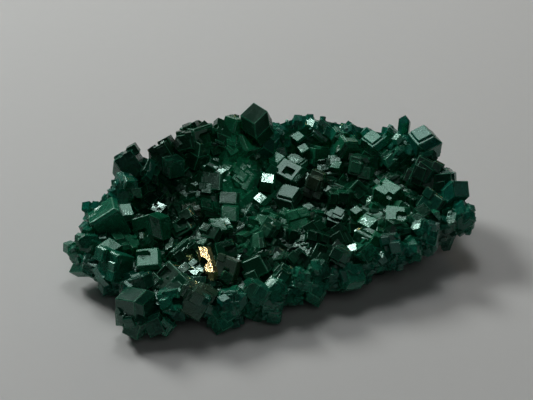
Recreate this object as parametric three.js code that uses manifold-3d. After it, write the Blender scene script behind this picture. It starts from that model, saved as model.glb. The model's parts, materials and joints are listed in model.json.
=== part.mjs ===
// A dioptase cluster: a thin, dished crust overgrown with blocky green crystals, in millimetres, +Z up.
// The origin is at the middle of the flat underside that it rests on, +X is along its length, and -Y is its
// front. Crust and crystals grew into each other, so they are joined in one solid.
import * as THREE from "three";
import { mergeVertices } from "three/addons/utils/BufferGeometryUtils.js";
import Module from "manifold-3d";

// The crust: its rim's radius and height every 15 degrees, counter-clockwise from the right-hand end.
const RIM_RADIUS = [
  23.3, 22.5, 21.6, 19.0, 17.6, 16.8, 13.6, 12.0, 12.0, 12.4, 13.0, 16.4,
  20.9, 23.5, 20.3, 19.6, 16.6, 14.4, 13.0, 12.0, 12.0, 13.0, 15.0, 18.4,
];
const RIM_HEIGHT = [
  5.6, 7.2, 8.8, 8.4, 8.4, 8.6, 9.0, 10.8, 10.6, 10.6, 10.4, 9.0,
  6.4, 4.4, 3.6, 3.4, 3.2, 3.2, 3.4, 3.7, 4.0, 4.4, 4.8, 5.0,
];
const DISH_HEIGHT = 3.8; // of the crust at the middle of the dish
const DISH_POWER = 4; // how sharply the dish turns up into its rim
const RIM_THICKNESS = 2.0;
const RIM_LOWEST = 1.6; // of the rim's under edge, above the surface that the cluster rests on
const BASE_SHARE = 0.68; // of the rim's radius that rests on the surface
const CRUST_SIDES = 24;

// The habit of the crystals: a six-sided prism, and three rhombic faces at each end at this slope.
const RHOMB_SLOPE = THREE.MathUtils.degToRad(51);

// The large crystals that can be told apart, one a row: place in plan [x, y], radius of the prism,
// rise of its tip above the crust, the way and the angle that the tip leans from upright, its turn about
// that line, and its tip: a rhombic face or the point of the crystal. Lengths in mm, angles in degrees.
const LARGE_CRYSTALS = [
  // The ridge along the back, from the left
  [-16.6, 4.6, 2.1, 2.4, -60, 18, 20, "point"],
  [-14.6, 4.8, 1.6, 1.9, 100, 20, 70, "point"],
  [-12.8, 6.0, 1.9, 1.7, -80, 12, 10, "point"],
  [-10.4, 7.2, 1.5, 2.2, 120, 25, 45, "face"],
  [-7.9, 8.0, 2.4, 2.4, -51, 74, 82, "face"],
  [-6.2, 10.0, 1.7, 2.2, 110, 20, 80, "point"],
  [-4.4, 10.8, 1.4, 2.3, 60, 25, 15, "face"],
  [-2.0, 11.6, 2.0, 4.9, 110, 29, 142, "point"],
  [-2.3, 9.7, 1.9, 2.4, -31, 41, 171, "face"],
  [-7.2, 5.0, 2.0, 1.7, -95, 42, 40, "face"],
  [-3.0, 6.6, 1.9, 1.6, -70, 38, 15, "face"],
  // The left end
  [-19.9, -1.9, 2.9, 2.2, 168, 28, -28, "face"],
  [-17.3, -1.1, 1.5, 1.9, -60, 16, -118, "face"],
  [-18.6, -6.4, 1.7, 1.7, -101, 10, 92, "face"],
  [-14.8, -3.5, 2.2, 1.8, -124, 62, -48, "face"],
  [-14.0, -8.2, 2.1, 1.6, -80, 14, -38, "face"],
  [-14.6, -6.2, 1.0, 2.2, -120, 40, 10, "point"],
  [-18.6, -9.4, 2.3, 1.6, -135, 58, 10, "face"],
  [-22.6, -5.2, 1.9, 1.4, 190, 48, 30, "point"],
  [-15.2, -14.6, 2.3, 1.9, 131, 14, 17, "face"],
  // The floor of the dish
  [-8.7, -9.8, 1.5, 1.5, -76, 12, 4, "face"],
  [-7.1, -9.2, 1.5, 0.8, -40, 34, 60, "face"],
  [-13.5, 0.9, 1.4, 1.5, -65, 11, 107, "face"],
  [-9.5, 1.0, 1.5, 1.5, -90, 6, -28, "face"],
  [-5.0, 3.0, 1.8, 1.7, -117, 6, 40, "face"],
  [-4.8, 0.2, 1.5, 1.6, -80, 38, 47, "face"],
  [-5.1, -6.7, 1.8, 1.6, -90, 18, -30, "face"],
  [-4.9, -10.0, 2.0, 1.6, -80, 36, 30, "face"],
  [-7.5, -13.9, 2.3, 1.7, 15, 35, 123, "face"],
  [-1.0, 3.4, 1.1, 1.5, -93, 12, 2, "face"],
  [2.4, 8.3, 2.4, 2.1, -82, 10, 12, "face"],
  [-0.3, 6.3, 1.3, 2.1, -88, 13, 35, "face"],
  [0.9, 10.1, 1.2, 1.6, -105, 16, -84, "face"],
  [3.6, 13.5, 1.1, 1.6, -115, 12, -4, "face"],
  [5.8, 11.5, 1.9, 2.0, -100, 20, 80, "point"],
  [2.2, 4.4, 2.1, 1.3, -120, 13, -73, "face"],
  [5.6, 5.6, 1.9, 1.7, -100, 44, 20, "face"],
  [3.6, -0.8, 1.7, 1.4, -70, 28, 70, "face"],
  [0.0, -2.2, 1.6, 1.4, -110, 32, 5, "face"],
  [8.1, -0.2, 1.5, 1.4, -90, 15, 20, "face"],
  [8.6, 4.4, 1.8, 1.5, 80, 18, 50, "face"],
  [11.6, -1.2, 1.4, 1.5, -110, 15, 96, "face"],
  [5.8, -5.0, 1.9, 1.4, -60, 34, 40, "face"],
  // The right end
  [14.4, 4.4, 2.0, 1.7, -78, 13, 96, "face"],
  [15.2, -0.2, 1.9, 1.7, -105, 15, 36, "face"],
  [11.2, 8.6, 1.9, 1.6, -100, 48, 30, "face"],
  [13.1, 11.4, 1.8, 1.9, -104, 11, -3, "face"],
  [19.0, 9.5, 2.1, 2.2, -120, 12, -17, "face"],
  [16.6, 10.8, 1.3, 1.8, -90, 20, 30, "face"],
  [16.9, 12.4, 0.8, 2.9, 70, 10, 10, "point"],
  [18.9, 5.2, 2.7, 1.9, -100, 52, 15, "face"],
  [19.2, 1.0, 2.1, 1.6, -120, 38, 0, "face"],
  [23.8, 2.7, 1.6, 2.1, -3, 38, 9, "point"],
  [23.0, -1.2, 1.5, 0.6, -92, 33, 25, "point"],
  [18.6, -4.4, 1.6, 1.2, -70, 46, 35, "face"],
  // The front lip
  [14.0, -6.2, 1.6, 1.3, -75, 40, 60, "face"],
  [11.4, -7.8, 1.4, 1.1, -60, 56, 10, "face"],
  [8.4, -8.2, 1.7, 1.3, -85, 36, 20, "face"],
  [5.8, -10.4, 1.4, 1.0, -80, 60, 75, "face"],
  [3.6, -11.8, 1.5, 1.1, -85, 52, 40, "face"],
  [0.9, -13.0, 1.4, 0.9, -70, 62, 0, "face"],
  [-1.6, -13.4, 1.6, 1.2, -95, 50, 10, "face"],
  [-4.6, -14.4, 1.4, 1.0, -90, 64, 50, "face"],
  [-11.2, -15.2, 1.9, 1.4, -100, 46, 55, "face"],
  // Below the highest crystal
  [-5.0, 9.3, 1.9, 2.1, 36, 9, 1, "face"],
  [-0.8, 12.5, 1.6, 2.1, 92, 29, 90, "point"],
];

// The smaller crystals that fill the rest, each group with the range of its prisms' radii.
const DISH_COUNT = 800;
const DISH_RADII = [1.8, 2.7];
const DISH_REACH = 0.97; // of the rim's radius that they cover
const RIM_COUNT = 22; // in each row
const RIM_RADII = [1.1, 1.8];
// Rows round the rim: height as a share of its thickness, and how far the crystals point up
const RIM_ROWS = [
  [0.85, 50],
  [0.25, 4],
];
const FLANK_COUNT = 8; // on the underside, between the base and the rim
const FLANK_RADII = [1.1, 1.8];
const FLANK_POINTS_DOWN = 30;
// Length of a crystal from its middle to its point, in prism radii, by what its tip is
const LENGTHS = { face: [0.98, 1.25], point: [1.2, 1.55] };
const RISES = [0.25, 0.75]; // of a small crystal's tip above the crust, in prism radii
const SCATTER = 0.62; // sideways, of the way that small crystals point
const FACE_SHARE = 0.7; // of the small crystals that grew with a rhombic face outwards
const SPACING = 0.61; // least distance between two tips, in the sum of their prism radii
const GOLDEN_ANGLE = Math.PI * (3 - Math.sqrt(5));

const wasm = await Module();
wasm.setup();

// A number from 0 to 1 that looks random and is always the same for the same crystal and use.
function chance(crystal, use) {
  const wave = Math.sin(crystal * 12.9898 + use * 78.233) * 43758.5453;
  return wave - Math.floor(wave);
}

function between([low, high], share) {
  return low + (high - low) * share;
}

// A value of the rim at an angle, eased between the two nearest entries of its list.
function atRim(list, angle) {
  const place = THREE.MathUtils.euclideanModulo(angle / (2 * Math.PI), 1) * list.length;
  const entry = Math.floor(place);
  const ease = THREE.MathUtils.smoothstep(place - entry, 0, 1);
  return THREE.MathUtils.lerp(list[entry % list.length], list[(entry + 1) % list.length], ease);
}

// Height of the crust at a share of the way from the middle of the dish to the rim.
function dishHeight(angle, share) {
  return THREE.MathUtils.lerp(DISH_HEIGHT, atRim(RIM_HEIGHT, angle), Math.min(share, 1) ** DISH_POWER);
}

function rimUnderEdge(angle) {
  return Math.max(RIM_LOWEST, atRim(RIM_HEIGHT, angle) - RIM_THICKNESS);
}

function crustPoint(angle, share) {
  const radius = atRim(RIM_RADIUS, angle) * share;
  return new THREE.Vector3(radius * Math.cos(angle), radius * Math.sin(angle), dishHeight(angle, share));
}

// A closed geometry as a solid for joining: shared corners merged, and collapsed triangles dropped.
function solidOf(geometry) {
  geometry.deleteAttribute("normal");
  geometry.deleteAttribute("uv");
  const merged = mergeVertices(geometry, 1e-4);
  const corners = Array.from(merged.index.array);
  const triVerts = [];
  for (let i = 0; i < corners.length; i += 3) {
    const [a, b, c] = corners.slice(i, i + 3);
    if (a !== b && b !== c && c !== a) triVerts.push(a, b, c);
  }
  const vertProperties = merged.attributes.position.array;
  return new wasm.Manifold(
    new wasm.Mesh({ numProp: 3, vertProperties, triVerts: new Uint32Array(triVerts) }),
  );
}

// A lathe turned about Z in place of Y, with its first corner towards +X.
function latheAboutZ(profile, sides) {
  return new THREE.LatheGeometry(profile, sides, Math.PI / 2).rotateX(Math.PI / 2);
}

// The dished crust: a lathe whose profile has shares of the rim's radius for radii, set out to the rim.
function crustSolid() {
  const shares = [0, BASE_SHARE, 1, 1, 0.8, 0.5, 0];
  const [baseRow, underRow] = [1, 2];
  const profile = shares.map((share, row) => new THREE.Vector2(share, row));
  const geometry = latheAboutZ(profile, CRUST_SIDES);
  const position = geometry.attributes.position;
  for (let i = 0; i < position.count; i++) {
    const row = Math.round(position.getZ(i));
    const angle = Math.atan2(position.getY(i), position.getX(i));
    const point = crustPoint(angle, shares[row]);
    if (row <= baseRow) point.z = 0;
    if (row === underRow) point.z = rimUnderEdge(angle);
    position.setXYZ(i, point.x, point.y, point.z);
  }
  return solidOf(geometry);
}

// A crystal on its own axis, +Z: each end's point, and a zigzag of corners where the prism meets its rhombs.
function crystalGeometry(radius, length) {
  const drop = radius * Math.tan(RHOMB_SLOPE);
  const shoulder = length - 0.75 * drop;
  const profile = [
    new THREE.Vector2(0, -length),
    new THREE.Vector2(radius, -shoulder),
    new THREE.Vector2(radius, shoulder),
    new THREE.Vector2(0, length),
  ];
  const geometry = latheAboutZ(profile, 6);
  const position = geometry.attributes.position;
  for (let i = 0; i < position.count; i++) {
    const [x, y, z] = [position.getX(i), position.getY(i), position.getZ(i)];
    if (Math.hypot(x, y) < radius / 2) continue;
    const corner = Math.round(Math.atan2(y, x) / (Math.PI / 3));
    const down = corner % 2 === 0 ? -1 : 1;
    position.setZ(i, z + (down * drop) / 4);
  }
  return geometry;
}

// A crystal in place: its tip is at a point, and points outwards along a direction.
function crystalSolid({ tip, outwards, radius, length, turn, tipKind }) {
  const faceOut = tipKind === "face";
  const geometry = crystalGeometry(radius, length);
  if (faceOut) geometry.rotateY(-RHOMB_SLOPE);
  geometry.rotateZ(turn);
  const stand = new THREE.Quaternion().setFromUnitVectors(new THREE.Vector3(0, 0, 1), outwards);
  geometry.applyQuaternion(stand);
  const depth = faceOut ? length * Math.cos(RHOMB_SLOPE) : length;
  const centre = tip.clone().addScaledVector(outwards, -depth);
  return solidOf(geometry.translate(centre.x, centre.y, centre.z));
}

// A direction that leans from upright towards an angle in plan.
function leaning(towards, lean) {
  return new THREE.Vector3(
    Math.sin(lean) * Math.cos(towards),
    Math.sin(lean) * Math.sin(towards),
    Math.cos(lean),
  );
}

function largeCrystals() {
  const radians = THREE.MathUtils.degToRad;
  return LARGE_CRYSTALS.map(([x, y, radius, rise, towards, lean, turn, tipKind], i) => {
    const angle = Math.atan2(y, x);
    const share = Math.hypot(x, y) / atRim(RIM_RADIUS, angle);
    return {
      tip: new THREE.Vector3(x, y, dishHeight(angle, share) + rise),
      outwards: leaning(radians(towards), radians(lean)),
      radius,
      length: radius * between(LENGTHS[tipKind], chance(i, 9)),
      turn: radians(turn),
      tipKind,
    };
  });
}

// A small crystal that grows out of a point of the crust, roughly along a direction.
function smallCrystal(number, root, outwards, radii) {
  const radius = between(radii, chance(number, 1) ** 2);
  const sideways = [2, 3, 4].map((use) => SCATTER * (2 * chance(number, use) - 1));
  const direction = outwards.clone().add(new THREE.Vector3(...sideways)).normalize();
  const tipKind = chance(number, 8) < FACE_SHARE ? "face" : "point";
  return {
    tip: root.clone().addScaledVector(direction, radius * between(RISES, chance(number, 5))),
    outwards: direction,
    radius,
    length: radius * between(LENGTHS[tipKind], chance(number, 6)),
    turn: 2 * Math.PI * chance(number, 7),
    tipKind,
  };
}

// Over the dish, on the spiral that a sunflower's seeds follow.
function dishCrystals() {
  return Array.from({ length: DISH_COUNT }, (_, i) => {
    const angle = i * GOLDEN_ANGLE;
    const share = DISH_REACH * Math.sqrt((i + 0.5) / DISH_COUNT);
    const uphill = crustPoint(angle, share + 0.02).sub(crustPoint(angle, share)).normalize();
    const along = new THREE.Vector3(-Math.sin(angle), Math.cos(angle), 0);
    return smallCrystal(100 + i, crustPoint(angle, share), uphill.cross(along), DISH_RADII);
  });
}

// Angles round the rim that are the same distance apart along it.
function rimAngles(count) {
  const steps = 360;
  const angles = Array.from({ length: steps + 1 }, (_, i) => (2 * Math.PI * i) / steps);
  const along = [0];
  for (let i = 1; i <= steps; i++) {
    along.push(along[i - 1] + crustPoint(angles[i], 1).distanceTo(crustPoint(angles[i - 1], 1)));
  }
  return Array.from({ length: count }, (_, i) => {
    const wanted = (along[steps] * i) / count;
    const next = along.findIndex((length) => length > wanted);
    const part = (wanted - along[next - 1]) / (along[next] - along[next - 1]);
    return THREE.MathUtils.lerp(angles[next - 1], angles[next], part);
  });
}

// Round the rim, in rows that point outwards.
function rimCrystals() {
  return RIM_ROWS.flatMap(([heightShare, pointsUp], row) =>
    rimAngles(RIM_COUNT).map((angle, i) => {
      const root = crustPoint(angle, 1);
      root.z = THREE.MathUtils.lerp(rimUnderEdge(angle), atRim(RIM_HEIGHT, angle), heightShare);
      const outwards = leaning(angle, THREE.MathUtils.degToRad(90 - pointsUp));
      return smallCrystal(300 + row * 100 + i, root, outwards, RIM_RADII);
    }),
  );
}

// On the flank of the underside, halfway from the base to the rim.
function flankCrystals() {
  return rimAngles(FLANK_COUNT).map((angle, i) => {
    const share = THREE.MathUtils.lerp(BASE_SHARE, 1, 0.3 + 0.4 * chance(600 + i, 10));
    const root = crustPoint(angle, share);
    root.z = THREE.MathUtils.mapLinear(share, BASE_SHARE, 1, 0, rimUnderEdge(angle));
    const outwards = leaning(angle, THREE.MathUtils.degToRad(90 + FLANK_POINTS_DOWN));
    return smallCrystal(600 + i, root, outwards, FLANK_RADII);
  });
}

// The large crystals and the rim's come first, and another grows only where there is room between their tips.
const crystals = [...largeCrystals(), ...rimCrystals()];
for (const small of [...dishCrystals(), ...flankCrystals()]) {
  const hasRoom = crystals.every(
    (other) => small.tip.distanceTo(other.tip) > SPACING * (small.radius + other.radius),
  );
  if (hasRoom) crystals.push(small);
}

// All in one, cut off flat at the surface that it rests on. The largest shell is the outside of the cluster,
// and the others are gaps sealed in between crystals, which are filled.
const grown = wasm.Manifold.union([crustSolid(), ...crystals.map(crystalSolid)]);
const below = new THREE.BoxGeometry(100, 100, 20).translate(0, 0, -10);
const shells = grown.subtract(solidOf(below)).decompose();
const cluster = shells.reduce((most, shell) => (shell.volume() > most.volume() ? shell : most));

const { vertProperties, triVerts } = cluster.getMesh();
const geometry = new THREE.BufferGeometry();
geometry.setAttribute("position", new THREE.BufferAttribute(vertProperties, 3));
geometry.setIndex(new THREE.BufferAttribute(triVerts, 1));
geometry.computeVertexNormals();

// Deep bluish green, glassy and a little see-through
const dioptase = new THREE.MeshStandardMaterial({ color: 0x0b4a38, roughness: 0.15, metalness: 0 });
const mesh = new THREE.Mesh(geometry, dioptase);
mesh.name = "crystal_cluster";

// The origin is under the middle of the cluster's box.
const box = new THREE.Box3().setFromBufferAttribute(geometry.attributes.position);
const middle = box.getCenter(new THREE.Vector3());
mesh.position.set(-middle.x, -middle.y, 0);

const part = new THREE.Group();
part.add(mesh);
export default part;
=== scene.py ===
"""A dioptase cluster: a thin, dished plate of deep green crystals grown into each other.

The crust and the blocks follow the same rules as the solid model. What is too fine for it is added here:
the small crystals on, beside and between the blocks, the steps, hollows and broken edges of their faces,
and their finish. Lengths are in metres, but in millimetres in the lists of crystals and patches.
"""

import json
import math
from dataclasses import dataclass, replace

import bmesh
import bpy
import numpy as np
from bpy.props import FloatProperty, FloatVectorProperty, IntProperty, IntVectorProperty, PointerProperty
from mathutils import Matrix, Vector

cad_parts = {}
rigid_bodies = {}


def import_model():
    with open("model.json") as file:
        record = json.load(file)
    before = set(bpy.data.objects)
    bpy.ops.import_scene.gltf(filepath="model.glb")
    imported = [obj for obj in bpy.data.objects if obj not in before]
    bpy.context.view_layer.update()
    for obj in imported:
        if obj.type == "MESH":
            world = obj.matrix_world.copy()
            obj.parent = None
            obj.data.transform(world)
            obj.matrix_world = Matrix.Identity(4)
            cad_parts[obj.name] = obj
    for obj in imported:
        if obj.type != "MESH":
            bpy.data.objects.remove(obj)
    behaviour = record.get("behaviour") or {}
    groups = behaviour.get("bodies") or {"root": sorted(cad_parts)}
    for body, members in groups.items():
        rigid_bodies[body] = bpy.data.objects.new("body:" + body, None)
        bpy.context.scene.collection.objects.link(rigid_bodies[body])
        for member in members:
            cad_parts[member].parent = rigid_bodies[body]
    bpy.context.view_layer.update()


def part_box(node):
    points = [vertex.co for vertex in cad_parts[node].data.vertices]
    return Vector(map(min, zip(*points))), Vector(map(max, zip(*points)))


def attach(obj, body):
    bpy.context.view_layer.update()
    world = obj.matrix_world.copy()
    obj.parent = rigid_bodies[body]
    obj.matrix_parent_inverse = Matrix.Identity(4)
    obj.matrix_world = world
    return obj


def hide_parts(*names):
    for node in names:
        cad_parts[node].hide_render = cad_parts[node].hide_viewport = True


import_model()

bl_info = {
    "name": "Dioptase Cluster",
    "version": (1, 0, 0),
    "blender": (4, 5, 0),
    "location": "3D View > Sidebar > Dioptase",
    "description": "Grows a plate of intergrown dioptase crystals and sets up its studio",
    "category": "Add Mesh",
}

MM = 0.001
NODE = "crystal_cluster"
GOLDEN_ANGLE = math.pi * (3 - math.sqrt(5))

# The large crystals that can be told apart, one a row: place in plan, radius of the prism, rise of the tip
# above the crust, the way and the angle that the tip leans from upright, the turn about that line, whether
# a rhombic face or the point of the crystal is the tip, and the name of its detail or finish in the tables
# below. Millimetres and degrees.
LARGE_CRYSTALS = (
    # The ridge along the back, from the left
    (-16.6, 4.6, 2.1, 2.4, -60, 18, 20, "point", "dull"),
    (-14.6, 4.8, 1.6, 1.9, 100, 20, 70, "point", ""),
    (-12.8, 6.0, 1.9, 1.7, -80, 12, 10, "point", "dull"),
    (-10.4, 7.2, 1.5, 2.2, 120, 25, 45, "face", ""),
    (-7.9, 8.0, 2.4, 2.4, -51, 74, 82, "face", "pit"),
    (-6.2, 10.0, 1.7, 2.2, 110, 20, 80, "point", ""),
    (-4.4, 10.8, 1.4, 2.3, 60, 25, 15, "face", ""),
    (-2.0, 11.6, 2.0, 4.9, 110, 29, 142, "point", "matt"),
    (-2.3, 9.7, 1.9, 2.4, -31, 41, 171, "face", "matt"),
    (-7.2, 5.0, 2.0, 1.7, -95, 42, 40, "face", ""),
    (-3.0, 6.6, 1.9, 1.6, -70, 38, 15, "face", ""),
    # The left end
    (-19.9, -1.9, 2.9, 2.2, 168, 28, -28, "face", "smooth"),
    (-17.3, -1.1, 1.5, 1.9, -60, 16, -118, "face", "clean"),
    (-18.6, -6.4, 1.7, 1.7, -101, 10, 92, "face", "clean"),
    (-14.8, -3.5, 2.2, 1.8, -124, 62, -48, "face", "arch"),
    (-14.0, -8.2, 2.1, 1.6, -80, 14, -38, "face", "open"),
    (-14.6, -6.2, 1.0, 2.2, -120, 40, 10, "point", ""),
    (-18.6, -9.4, 2.3, 1.6, -135, 58, 10, "face", ""),
    (-22.6, -5.2, 1.9, 1.4, 190, 48, 30, "point", ""),
    (-15.2, -14.6, 2.3, 1.9, 131, 14, 17, "face", "matt"),
    # The floor of the dish
    (-8.7, -9.8, 1.5, 1.5, -76, 12, 4, "face", "corner"),
    (-7.1, -9.2, 1.5, 0.8, -40, 34, 60, "face", "stained"),
    (-13.5, 0.9, 1.4, 1.5, -65, 11, 107, "face", "holes"),
    (-9.5, 1.0, 1.5, 1.5, -90, 6, -28, "face", "stained"),
    (-5.0, 3.0, 1.8, 1.7, -117, 6, 40, "face", "matt"),
    (-4.8, 0.2, 1.5, 1.6, -80, 38, 47, "face", "matt"),
    (-5.1, -6.7, 1.8, 1.6, -90, 18, -30, "face", "corner"),
    (-4.9, -10.0, 2.0, 1.6, -80, 36, 30, "face", "stained"),
    (-7.5, -13.9, 2.3, 1.7, 15, 35, 123, "face", "stained"),
    (-1.0, 3.4, 1.1, 1.5, -93, 12, 2, "face", "clean"),
    (2.4, 8.3, 2.4, 2.1, -82, 10, 12, "face", "hollow"),
    (-0.3, 6.3, 1.3, 2.1, -88, 13, 35, "face", "clean"),
    (0.9, 10.1, 1.2, 1.6, -105, 16, -84, "face", "clean"),
    (3.6, 13.5, 1.1, 1.6, -115, 12, -4, "face", "clean"),
    (5.8, 11.5, 1.9, 2.0, -100, 20, 80, "point", ""),
    (2.2, 4.4, 2.1, 1.3, -120, 13, -73, "face", "plate"),
    (5.6, 5.6, 1.9, 1.7, -100, 44, 20, "face", "stained"),
    (3.6, -0.8, 1.7, 1.4, -70, 28, 70, "face", ""),
    (0.0, -2.2, 1.6, 1.4, -110, 32, 5, "face", ""),
    (8.1, -0.2, 1.5, 1.4, -90, 15, 20, "face", ""),
    (8.6, 4.4, 1.8, 1.5, 80, 18, 50, "face", ""),
    (11.6, -1.2, 1.4, 1.5, -110, 15, 96, "face", "corner"),
    (5.8, -5.0, 1.9, 1.4, -60, 34, 40, "face", ""),
    # The right end
    (14.4, 4.4, 2.0, 1.7, -78, 13, 96, "face", "ragged"),
    (15.2, -0.2, 1.9, 1.7, -105, 15, 36, "face", "notched"),
    (11.2, 8.6, 1.9, 1.6, -100, 48, 30, "face", ""),
    (13.1, 11.4, 1.8, 1.9, -104, 11, -3, "face", "plate"),
    (19.0, 9.5, 2.1, 2.2, -120, 12, -17, "face", "plate"),
    (16.6, 10.8, 1.3, 1.8, -90, 20, 30, "face", ""),
    (16.9, 12.4, 0.8, 2.9, 70, 10, 10, "point", "matt"),
    (18.9, 5.2, 2.7, 1.9, -100, 52, 15, "face", ""),
    (19.2, 1.0, 2.1, 1.6, -120, 38, 0, "face", ""),
    (23.8, 2.7, 1.6, 2.1, -3, 38, 9, "point", "matt"),
    (23.0, -1.2, 1.5, 0.6, -92, 33, 25, "point", "matt"),
    (18.6, -4.4, 1.6, 1.2, -70, 46, 35, "face", ""),
    # The front lip
    (14.0, -6.2, 1.6, 1.3, -75, 40, 60, "face", ""),
    (11.4, -7.8, 1.4, 1.1, -60, 56, 10, "face", ""),
    (8.4, -8.2, 1.7, 1.3, -85, 36, 20, "face", ""),
    (5.8, -10.4, 1.4, 1.0, -80, 60, 75, "face", ""),
    (3.6, -11.8, 1.5, 1.1, -85, 52, 40, "face", ""),
    (0.9, -13.0, 1.4, 0.9, -70, 62, 0, "face", ""),
    (-1.6, -13.4, 1.6, 1.2, -95, 50, 10, "face", ""),
    (-4.6, -14.4, 1.4, 1.0, -90, 64, 50, "face", ""),
    (-11.2, -15.2, 1.9, 1.4, -100, 46, 55, "face", ""),
    # Below the highest crystal
    (-5.0, 9.3, 1.9, 2.1, 36, 9, 1, "face", "matt"),
    (-0.8, 12.5, 1.6, 2.1, 92, 29, 90, "point", "matt"),
)

# Small crystals that are placed one by one, in the same columns.
FINE_CRYSTALS = (
    # Faces that mirror the light
    (-19.7, -4.7, 1.2, 1.7, -92, 10, -42, "face", "clean"),
    (17.3, -3.4, 1.1, 1.6, -115, 16, -73, "face", "clean"),
    (-10.1, -13.7, 0.6, 1.5, -81, 11, -3, "face", "clean"),
    (-5.2, -14.8, 0.8, 1.5, -115, 9, -101, "face", "clean"),
    (4.2, 12.0, 1.0, 1.6, -110, 16, -15, "face", "clean"),
    (-0.5, 8.6, 0.5, 1.7, -94, 13, -1, "face", "clean"),
    (17.9, 7.7, 0.5, 1.6, -112, 14, -87, "face", "clean"),
    (10.4, 1.0, 0.9, 1.5, -128, 12, 82, "face", "corner"),
    (6.9, 5.2, 0.8, 1.5, -118, 11, -92, "face", "clean"),
    (4.9, -4.3, 0.9, 1.5, -120, 14, -94, "face", "clean"),
    # The golden crystals
    (-6.4, -11.9, 0.85, 1.3, -75, 100, 30, "point", "golden"),
    (-7.4, -7.9, 0.6, 1.7, -80, 14, 40, "face", "golden"),
    # Below the block at the front left
    (-16.9, -15.6, 1.3, -1.0, -150, 70, 20, "face", ""),
    (-16.4, -16.6, 1.4, -1.2, -120, 75, 50, "point", ""),
    (-15.2, -17.2, 1.6, -1.0, -105, 70, 15, "face", ""),
    (-13.9, -17.4, 1.4, -1.3, -95, 80, 35, "point", ""),
    (-12.8, -17.0, 1.6, -0.8, -90, 68, 70, "face", ""),
    (-11.6, -16.9, 1.3, -1.0, -80, 72, 10, "face", ""),
    (-14.6, -16.6, 1.2, -1.9, -100, 85, 0, "point", ""),
    (-16.0, -15.8, 1.2, -2.0, -130, 85, 30, "face", ""),
    # On the front of that block
    (-16.5, -16.5, 0.8, -0.2, -135, 75, 20, "face", ""),
    (-15.6, -17.1, 1.0, -0.3, -110, 80, 50, "face", ""),
    (-14.6, -17.4, 0.8, 0.4, -100, 70, 30, "point", ""),
    (-16.9, -15.9, 0.6, 0.4, -140, 70, 60, "face", ""),
    # On top of the ridge
    (-8.0, 9.9, 0.9, 1.8, 80, 15, 30, "point", ""),
    (-9.2, 9.3, 1.0, 2.0, -70, 12, 10, "point", ""),
    (-10.2, 9.4, 0.9, 1.5, 150, 25, 50, "face", ""),
    (-7.3, 9.3, 0.7, 1.9, 20, 20, 0, "point", ""),
    (-8.8, 10.6, 0.9, 1.4, 100, 25, 70, "point", ""),
    # The upright point at the back right
    (16.9, 12.4, 0.8, 2.9, 70, 10, 10, "point", "spike"),
    # The brightest face in the dish
    (-0.3, 5.3, 1.3, 2.98, -88, 13, 35, "face", "clean"),
)

# Hollows and plates on the face at the tip: place along its two edges from the middle and width, as shares
# of those edges, and depth in prism radii. A depth below zero is a plate that stands on the face.
FACE_DETAILS = {
    "hollow": ((-0.1, 0.1, 0.46, 0.28),),
    "pit": ((-0.05, 0.05, 0.6, 0.3),),
    "open": ((-0.22, -0.02, 0.6, 0.2),),
    "arch": ((0.0, 0.3, 0.45, 0.3),),
    "corner": ((0.32, 0.26, 0.6, 0.2),),
    "holes": ((0.2, 0.1, 0.3, 0.15), (-0.22, -0.15, 0.26, 0.15)),
    "plate": ((0.05, -0.08, 0.8, -0.12),),
    "ragged": ((-0.45, -0.45, 0.5, 0.2), (0.5, 0.0, 0.25, 0.2)),
    "notched": ((-0.12, 0.3, 0.45, 0.25),),
}
# How stained a crystal is: brown up to 0.5, and golden above that, where the gold is a stain with painted
# glints of warm light.
STAINS = {"stained": 0.5, "golden": 1.0}
# Half lengths, in radii, of points that are drawn out.
DRAWN_OUT = {"golden": 3.2, "spike": 3.0}
# How polished a crystal is, from 1 for the brightest to below 0 for etched. Those with another name are the
# brightest, and those without a name are polished by chance. Broken edges are worn.
POLISH = {"smooth": 0.45, "dull": -0.2, "matt": 0.0, "pit": 0.8, "stained": 0.3, "golden": 0.6}
WORN_EDGE = -0.5
# Large crystals with these names, or with none, carry smaller crystals and steps, as unlisted blocks do.
OVERGROWN = ("", "stained", "dull")

# Patches of painted light and shade: where the crystals are painted darker or paler than elsewhere to stand
# for shade and light. Place in plan and radius, and how pale.
PAINTED_LIGHT_PATCHES = (
    (-15.2, 5.2, 3.5, 0.0),
    (-3.8, 9.5, 2.2, 1.0),
    (-3.6, 6.2, 4.0, 1.0),
    (19.3, 6.4, 4.5, 0.0),
    (22.0, -3.0, 3.0, 0.0),
    (-19.8, -2.2, 2.5, 0.9),
    (-12.2, -10.6, 3.2, 0.0),
    (-7.3, -3.0, 2.2, 0.2),
    (1.0, -4.8, 3.2, 0.0),
    (-1.6, -8.6, 4.2, 0.0),
    (5.5, -6.0, 5.0, 0.0),
    (11.0, -6.2, 2.6, 0.9),
    (-1.2, -13.4, 3.5, 1.0),
    (4.6, -11.4, 2.8, 1.0),
    (-14.8, -16.4, 3.8, 0.2),
)
# How far the core of a patch of painted light or shade, or the darker ridge, takes over the tone, and the
# radius of that core in patch radii.
STRENGTH = 0.8
CORE = 0.4
# Heights of the rim between which it becomes turned up, and then a ridge. Shares of the way out between
# which the ridge's darker tone, partly painted shade, and the rim begin.
TURNED_UP_HEIGHTS = (4.4 * MM, 7.0 * MM)
RIDGE_HEIGHTS = (8.9 * MM, 10.2 * MM)
RIDGE_SHARES = (0.5, 0.8)
EDGE_SHARES = (0.75, 1.05)
# How thin the edge counts where the rim is low, and where it is turned up.
THINNESS = (0.5, 1)
# Shares of the way out to the rim, inwards, of the rows of points that the dish is made of.
DISH_SHARES = (1, 0.95, 0.9, 0.8, 0.65, 0.5, 0.25)
# The rows of crystals round the rim: height as a share of the way up from the under edge, and lean from
# upright. The lean of those on the flank.
RIM_ROWS = ((0.85, math.radians(40)), (0.25, math.radians(86)))
FLANK_LEAN = math.radians(120)
# Share of the way out to the rim that the spiral over the dish reaches.
SPIRAL_REACH = 0.97
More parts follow.
